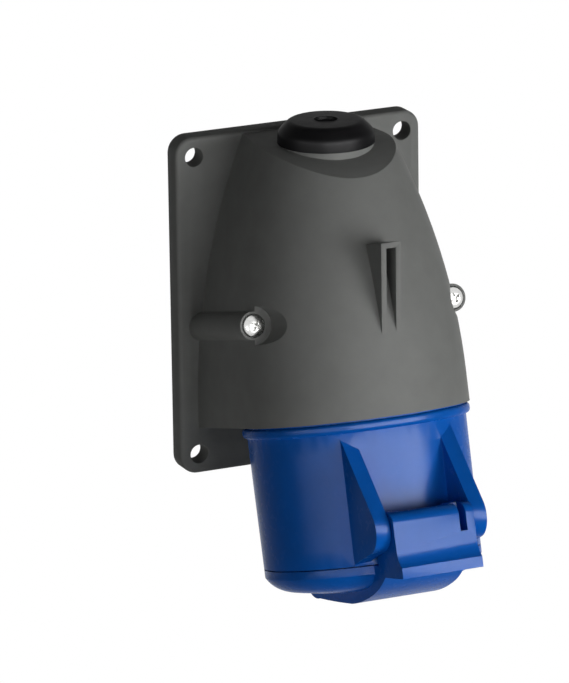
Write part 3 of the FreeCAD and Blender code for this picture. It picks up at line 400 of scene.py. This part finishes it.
def add_piece(data, slot):
    """An object of a mesh: smooth, and with the finish of its slot."""
    data.polygons.foreach_set("use_smooth", np.ones(len(data.polygons), bool))
    data.materials.append(finishes[slot])
    return add_object(data.name, data)


def soft_edged(node, name, width, rim_width=0.0, on_rim=None):
    """Joins a node's triangles into faces, and rounds each edge of more than 28 degrees.

    An edge is rounded by width, or by rim_width where on_rim is true of both its ends.
    """
    mesh = bmesh.new()
    mesh.from_mesh(frame["nodes"][node].data)
    bmesh.ops.remove_doubles(mesh, verts=mesh.verts, dist=SAME_POINT)
    bmesh.ops.dissolve_degenerate(mesh, edges=mesh.edges, dist=SLIVER)
    bmesh.ops.dissolve_limit(mesh, angle_limit=FLAT_ANGLE, verts=mesh.verts, edges=mesh.edges,
                             use_dissolve_boundaries=False)
    widest = max(width, rim_width)
    weights = mesh.edges.layers.float.new("bevel_weight_edge")
    for edge in mesh.edges:
        if edge.calc_face_angle(0.0) > EDGE_ANGLE:
            rim = on_rim is not None and all(on_rim(end.co) for end in edge.verts)
            edge[weights] = (rim_width if rim else width) / widest
    data = bpy.data.meshes.new(name)
    mesh.to_mesh(data)
    mesh.free()
    piece = add_piece(data, slot_of[node])
    bevel = piece.modifiers.new("soft_edges", "BEVEL")
    bevel.width = widest
    bevel.segments = EDGE_SEGMENTS
    bevel.limit_method = "WEIGHT"
    bevel.harden_normals = True
    bevel.use_clamp_overlap = True
    bevel.miter_outer = "MITER_ARC"
    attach(piece, body_of_node[node])
    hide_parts(node)
    print(f"{name}: {len(data.polygons)} faces before its edges are rounded")


# %% [markdown]
# The hood's rim is found by its place in the socket's own frame: it lies at the height of the
# origin, and no more than 0.3 mm inside the hood's outline.

# %% Four pieces with soft edges
HOOD_RADIUS = 31.5
RIM_BAND = 0.3
RIM_LEVEL = 0.05


def on_hood_rim(point):
    """On the hood's lowest edge, outside: a half circle in front, two straight flanks behind."""
    x, y, z = to_socket(point)
    outside = math.hypot(x, min(y, 0.0))
    return abs(z) < RIM_LEVEL and outside > HOOD_RADIUS - RIM_BAND


soft_edged("back_plate", "wall_plate_shell", width=0.25 * MM)
soft_edged("hood", "hood_shell", width=0.25 * MM, rim_width=0.7 * MM, on_rim=on_hood_rim)
soft_edged("socket_housing", "housing_shell", width=0.18 * MM)
soft_edged("lid", "lid_shell", width=0.22 * MM)

# %% [markdown]
# ## Surfaces on a grid
#
# The grommet, the screws and the spring are surfaces that a formula gives. Each is a grid of points,
# rows by columns: a row is one loop round the piece, and the next row is the next loop. A row that
# shrinks to a point closes the end. The grid is worked out as one numpy array, and the faces between
# its rows come from the numbers of the points.

# %% Surfaces on a grid
SMOOTH_ANGLE = math.radians(35)
SAME_GRID_POINT = 0.0002 * MM


def surface(name, grids, slot):
    """Each face joins a point, its neighbour in the row, and the same two points one row on."""
    points = []
    faces = []
    start = 0
    for grid in grids:
        rows, columns = grid.shape[:2]
        number = start + np.arange(rows * columns).reshape(rows, columns)
        near, far = number[:-1], number[1:]
        corners = [near, np.roll(near, -1, 1), np.roll(far, -1, 1), far]
        faces.append(np.stack(corners, axis=-1).reshape(-1, 4))
        points.append(grid.reshape(-1, 3))
        start += rows * columns
    data = bpy.data.meshes.new(name)
    data.from_pydata(np.concatenate(points).tolist(), [], np.concatenate(faces).tolist())
    mesh = bmesh.new()
    mesh.from_mesh(data)
    bmesh.ops.remove_doubles(mesh, verts=mesh.verts, dist=SAME_GRID_POINT)
    bmesh.ops.recalc_face_normals(mesh, faces=mesh.faces)
    mesh.to_mesh(data)
    mesh.free()
    piece = add_piece(data, slot)
    data.set_sharp_from_angle(angle=SMOOTH_ANGLE)
    print(f"{name}: {len(data.polygons)} faces")
    return piece


# %% [markdown]
# The grommet and the screws are turned: a profile of radius and height is carried round an axis. It
# is written as a few corners, each with the radius of its fillet, because that is how a turned
# piece is drawn.

# %% Turned profiles
ARC_POINTS = 7


def rounded(corners):
    """A profile of radius and height whose corners are arcs.

    A row of corners holds a radius, a height and a fillet. The arc at a corner touches both sides
    at the fillet divided by the tangent of half the angle between them. Its points are sums of the
    two vectors from the arc's centre to its ends, with the sines of their share of the turn as
    weights.
    """
    corners = np.asarray(corners, float)
    point, fillet = corners[1:-1, :2], corners[1:-1, 2:]
    back, ahead = corners[:-2, :2] - point, corners[2:, :2] - point
    back /= np.linalg.norm(back, axis=1, keepdims=True)
    ahead /= np.linalg.norm(ahead, axis=1, keepdims=True)
    half = np.arccos(np.clip(np.sum(back * ahead, axis=1, keepdims=True), -1, 1)) / 2
    reach = fillet / np.tan(half)
    inward = (back + ahead) / np.linalg.norm(back + ahead, axis=1, keepdims=True)
    centre = point + inward * fillet / np.sin(half)
    first = (point + back * reach - centre)[:, None]
    last = (point + ahead * reach - centre)[:, None]
    turn = (np.pi - 2 * half)[:, None]
    share = np.linspace(0, 1, ARC_POINTS)[None, :, None]
    weighed = first * np.sin((1 - share) * turn) + last * np.sin(share * turn)
    arcs = centre[:, None] + weighed / np.sin(turn)
    return np.concatenate([corners[:1, :2], arcs.reshape(-1, 2), corners[-1:, :2]])


def turned(profile, columns):
    """Carries a profile round the Z axis: x is radius times cosine, y is radius times sine."""
    angle = np.linspace(0, 2 * np.pi, columns, endpoint=False)
    radius, height = profile[:, :1], profile[:, 1:]
    return np.stack([radius * np.cos(angle), radius * np.sin(angle), height + 0 * angle], axis=-1)


# %% [markdown]
# ## Grommet
#
# The cord's entry is closed by a soft black grommet. It looks like a flat bun: a brim that reaches
# over the collar's edge, a side that rounds inwards, a level top, and a dimple in the middle with a
# raised lip, where the fitter pierces it. Its neck goes down through the collar and ends in a lip
# that snaps in behind it. All of that is one closed profile, carried round the entry's axis.

# %% Grommet
ENTRY_OUT = 24.0
GROMMET_SEAT = 47.9
GROMMET_COLUMNS = 128
GROMMET_PROFILE = [
    (0.0, 4.95, 0.0), (2.9, 4.95, 0.3), (3.25, 5.93, 0.15), (3.9, 5.85, 0.3),
    (10.2, 5.8, 2.6), (13.1, 2.8, 2.8), (13.35, -0.4, 0.08), (13.15, -0.4, 0.08),
    (13.15, 0.0, 0.06), (9.8, 0.0, 0.12), (9.8, -8.1, 0.1), (10.8, -8.1, 0.15), (10.1, -10.0, 0.3),
    (8.6, -10.0, 0.2), (8.5, 0.0, 0.5), (8.3, 4.4, 0.8), (0.0, 3.75, 0.0)]


def grommet():
    """The closed profile, turned, and set on the collar."""
    form = turned(rounded(GROMMET_PROFILE), GROMMET_COLUMNS) + (0, -ENTRY_OUT, GROMMET_SEAT)
    piece = surface("grommet_dome", [form * MM], "grommet_rubber")
    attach(piece, "socket_body")
    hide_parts("cable_grommet")


grommet()

# %% [markdown]
# ## Cover screws
#
# Two plated pan-head screws hold the hood. The head is a shallow dome with a soft edge, and a cross
# recess sinks into it with sloping sides. The profile is first cut into short steps, so that there
# are enough rows where the recess and the thread are. Then the recess lowers the points that lie in
# the cross, and the thread draws in the radius by a wave that climbs one pitch in each turn. The
# thread fades in and out over a millimetre at its two ends.

# %% The shape of a screw
SCREW_PROFILE = [
    (0.0, 2.3, 0.0), (1.75, 2.16, 2.4), (2.85, 1.45, 1.3), (3.1, 0.5, 0.8), (3.1, 0.0, 0.1),
    (2.0, 0.0, 0.15), (2.0, -38.5, 0.1), (1.5, -39.1, 0.15), (0.0, -39.1, 0.0)]
SCREW_COLUMNS = 72
STEPS_IN_A_MM = 10
HEAD_FROM = 0.5
RECESS_REACH = 1.5
RECESS_HALF = 0.42
RECESS_SLOPE = 0.22
RECESS_DEPTH = 1.1
THREAD_PITCH = 0.7
THREAD_DEPTH = 0.28
THREAD_START = -28.0
THREAD_END = -38.6
THREAD_FADE = 1.0
LEAST_RADIUS = 1.0


def stepped(profile):
    """The profile's own points, and more at equal steps along its length."""
    length = np.concatenate([[0], np.cumsum(np.linalg.norm(np.diff(profile, axis=0), axis=1))])
    steps = np.arange(0, length[-1], 1 / STEPS_IN_A_MM)
    places = np.unique(np.concatenate([length, steps]))
    return np.stack([np.interp(places, length, profile[:, axis]) for axis in (0, 1)], axis=-1)


def cross_recess(x, y):
    """Full depth inside a cross of two arms, and less and less over its sloping sides."""
    along = np.maximum(abs(x), abs(y))
    across = np.minimum(abs(x), abs(y))
    inside = np.minimum(RECESS_REACH - along, RECESS_HALF - across)
    return RECESS_DEPTH * np.clip(inside / RECESS_SLOPE, 0, 1)


def thread_draw(x, y, z):
    """What the radius is multiplied by: 1 on a crest, and less by the thread's depth in a groove.

    The wave is half of 1 minus the cosine of an angle that grows by a full turn in each pitch, less
    the angle round the axis. Near the axis the radius counts as 1 mm, so nothing divides by 0.
    """
    wave = 0.5 - 0.5 * np.cos(2 * np.pi * z / THREAD_PITCH - np.arctan2(y, x))
    above = np.clip((THREAD_START - z) / THREAD_FADE, 0, 1)
    below = np.clip((z - THREAD_END) / THREAD_FADE, 0, 1)
    return 1 - THREAD_DEPTH * wave * (above * below) / np.maximum(np.hypot(x, y), LEAST_RADIUS)


# %% [markdown]
# The screws sit in the hood's two bosses and run along the Y axis of the socket's own frame, with
# their heads in front. Their crosses stand at two different angles, as driven screws do.

# %% Two screws in their bosses
SCREW_OUT = 29.87
SCREW_UP = 28.0
SCREW_SEAT = 6.54
LEFT_CROSS = math.radians(62)
RIGHT_CROSS = math.radians(24)


def cover_screw(side, turn):
    """A screw on the Z axis, its cross turned, then laid along the boss with its head in front."""
    x, y, z = np.moveaxis(turned(stepped(rounded(SCREW_PROFILE)), SCREW_COLUMNS), -1, 0)
    lean, keep = math.sin(turn), math.cos(turn)
    sunk = cross_recess(keep * x + lean * y, keep * y - lean * x) * (z > HEAD_FROM)
    draw = thread_draw(x, y, z)
    sideways = side * SCREW_OUT + x * draw
    forwards = -SCREW_SEAT - (z - sunk)
    upwards = SCREW_UP + y * draw
    return to_wall(np.stack([sideways, forwards, upwards], axis=-1))


screws = surface("cover_screw_pair", [cover_screw(-1, LEFT_CROSS), cover_screw(1, RIGHT_CROSS)],
                 "screw_steel")
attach(screws, "socket_body")
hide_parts("cover_screws")

# %% [markdown]
# ## Lid spring
#
# A torsion spring sits round the hinge pin: six turns of 1 mm wire, with one leg against the
# housing and the other in the hinge block. Its line is a leg, a left-handed helix and a leg, and a
# circle is carried along it.

# %% The spring's line
COIL_RADIUS = 2.6
COIL_PITCH = 1.6
COIL_TURNS = 6
POINTS_IN_A_TURN = 40
POINTS_IN_A_LEG = 12
BACK_LEG = 5.6
FRONT_LEG = 3.6


def spring_line():
    """Points down the back leg, round the helix and down the front leg, with the coil on Z."""
    turn = np.linspace(0, 2 * np.pi * COIL_TURNS, COIL_TURNS * POINTS_IN_A_TURN)
    rise = COIL_PITCH * turn / (2 * np.pi)
    coil = np.stack([COIL_RADIUS * np.cos(turn), -COIL_RADIUS * np.sin(turn), rise], axis=-1)
    down = np.linspace(1, 0, POINTS_IN_A_LEG, endpoint=False)[:, None]
    back = coil[0] + down * (0, BACK_LEG, 0)
    front = coil[-1] - (1 - down[1:]) * (0, FRONT_LEG, 0)
    return np.concatenate([back, coil, front])


print("the spring's line:", len(spring_line()), "points")

# %% Wire along a line
WIRE_RADIUS = 0.5
WIRE_CHAMFER = 0.1
WIRE_COLUMNS = 14


def wire_along(line):
    """A circle about each point. Its two directions are square to the line and to each other.

    Both ends are flat with a chamfer: the first and last point come three times, once with no
    radius, once with the chamfered radius, and once with the full radius, a chamfer further in.
    """
    ahead = np.gradient(line, axis=0)
    ahead /= np.linalg.norm(ahead, axis=1, keepdims=True)
    line = np.concatenate([line[:1], line[:1], line, line[-1:], line[-1:]])
    ahead = np.concatenate([ahead[:1], ahead[:1], ahead, ahead[-1:], ahead[-1:]])
    line[2] += ahead[2] * WIRE_CHAMFER
    line[-3] -= ahead[-3] * WIRE_CHAMFER
    radius = np.full(len(line), WIRE_RADIUS)
    radius[[0, -1]] = 0
    radius[[1, -2]] = WIRE_RADIUS - WIRE_CHAMFER
    side = np.cross(ahead, (0, 0, 1))
    side /= np.linalg.norm(side, axis=1, keepdims=True)
    up = np.cross(side, ahead)
    angle = np.linspace(0, 2 * np.pi, WIRE_COLUMNS, endpoint=False)[None, :, None]
    circle = side[:, None] * np.cos(angle) + up[:, None] * np.sin(angle)
    return line[:, None] + circle * radius[:, None, None]


# %% [markdown]
# As the lid opens, the real spring winds up. Here it is laid along the pin at rest, in Blender's own
# frame, and is not attached to the lid or the housing.

# %% Lid spring
HINGE_OUT = 35.7
HINGE_DOWN = 29.2


def lid_spring():
    """The coil's axis is laid along the hinge pin, with both legs under it."""
    x, y, z = np.moveaxis(wire_along(spring_line()), -1, 0)
    half = COIL_PITCH * COIL_TURNS / 2
    form = to_wall(np.stack([z - half, y - HINGE_OUT, -x - HINGE_DOWN], axis=-1))
    piece = surface("torsion_spring", [form], "screw_steel")
    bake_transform(piece)
    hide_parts("lid_spring")


lid_spring()

# %% [markdown]
# ## Light
#
# Two soft lamps to the right of the front and a much weaker one at the left give the plastics their
# plain level. Two wide panels are seen by gloss alone: the bright one in front puts the broad sheen
# on the barrel and the hinge block, the dim one carries it round to the left, and neither adds to
# the matt colours. They leave out the bright metal, which would burn out in them.

# %% Lamps and panels
OBJECT_MIDDLE = Vector((0, -0.04, -0.01))
LAMP_DISTANCE = 1.3
LAMP_UP = -2
PANEL_UP = 13
PANEL_TALL = 0.8
METAL_PIECES = ("cover_screw_pair", "torsion_spring", "hinge_pin")


def add_lamp(name, around, up, wide, tall, watts):
    """A rectangular lamp that faces the object from a direction, in degrees around and up."""
    data = bpy.data.lights.new(name, "AREA")
    data.shape = "RECTANGLE"
    data.size = wide
    data.size_y = tall
    data.energy = watts
    lamp = add_object(name, data)
    away = direction(math.radians(around), math.radians(up))
    lamp.location = OBJECT_MIDDLE + away * LAMP_DISTANCE
    lamp.rotation_euler = away.to_track_quat("Z", "Y").to_euler()
    return lamp


add_lamp("front_lamp", around=12, up=LAMP_UP, wide=0.9, tall=0.9, watts=8.8)
add_lamp("right_lamp", around=34, up=LAMP_UP, wide=0.6, tall=0.6, watts=10.4)
add_lamp("left_lamp", around=-50, up=LAMP_UP, wide=0.6, tall=0.6, watts=2.8)
panels = [add_lamp("bright_panel", around=9, up=PANEL_UP, wide=2.2, tall=PANEL_TALL, watts=430.0),
          add_lamp("dim_panel", around=-66, up=PANEL_UP, wide=1.4, tall=PANEL_TALL, watts=80.0)]
metal = bpy.data.collections.new("metal_pieces")
for name in METAL_PIECES:
    metal.objects.link(bpy.data.objects[name])
for item in metal.collection_objects:
    item.light_linking.link_state = "EXCLUDE"
for panel in panels:
    panel.visible_diffuse = False
    panel.light_linking.receiver_collection = metal
print("light: three lamps, and", len(panels), "panels that leave out", len(METAL_PIECES), "pieces")

# %% [markdown]
# The sky gives a weak even fill. Its Light Path keeps two jobs apart: what the camera, gloss and
# glass see is plain white, and what lights the matt surfaces is dim.

# %% Sky
FILL = 0.06
WHITE = (1, 1, 1, 1)


def add_sky():
    """White to the camera, to gloss and to glass, and dim to the rays that light the object."""
    world = bpy.data.worlds.new("studio")
    world.use_nodes = True
    world.node_tree.nodes.clear()
    nodes = Nodes(world.node_tree)
    strength = nodes.seen() * (1 - FILL) + FILL
    background = nodes.add("ShaderNodeBackground", {}, {"Color": WHITE, "Strength": strength})
    nodes.add("ShaderNodeOutputWorld", {}, {"Surface": background.outputs[0]})
    bpy.context.scene.world = world


add_sky()
bpy.context.scene.view_settings.view_transform = "Standard"

# %% [markdown]
# ## Floor
#
# The floor is a plain pale disc, well below the object and out of the photograph's view. Other
# views show it. It glows to the camera, to gloss and to glass, so that it is nearly as pale as the
# sky, and its matt paint still takes the object's shadow.

# %% Floor
FLOOR_LEVEL = -0.36
FLOOR_RADIUS = 0.5
FLOOR_POINTS = 128
FLOOR_PAINT = (0.8, 0.8, 0.79, 1)
FLOOR_GLOW = 0.62


def add_floor():
    """Points on a circle, joined into one flat face."""
    angles = np.linspace(0, 2 * np.pi, FLOOR_POINTS, endpoint=False)
    points = np.stack([FLOOR_RADIUS * np.cos(angles), FLOOR_RADIUS * np.sin(angles),
                       np.full_like(angles, FLOOR_LEVEL)], axis=1)
    data = bpy.data.meshes.new("floor")
    data.from_pydata(points.tolist(), [], [list(range(len(points)))])
    material = bpy.data.materials.new("floor_paint")
    material.use_nodes = True
    material.node_tree.nodes.clear()
    nodes = Nodes(material.node_tree)
    paint = nodes.add("ShaderNodeBsdfDiffuse", {}, {"Color": FLOOR_PAINT})
    strength = nodes.seen() * FLOOR_GLOW
    glow = nodes.add("ShaderNodeEmission", {}, {"Color": WHITE, "Strength": strength})
    both = nodes.add("ShaderNodeAddShader", {}, {0: paint.outputs[0], 1: glow.outputs[0]})
    nodes.add("ShaderNodeOutputMaterial", {}, {"Surface": both.outputs[0]})
    data.materials.append(material)
    floor = add_object("floor", data)


add_floor()
print(f"floor: a disc {2 * FLOOR_RADIUS:.1f} m across, {-FLOOR_LEVEL:.2f} m below the origin")
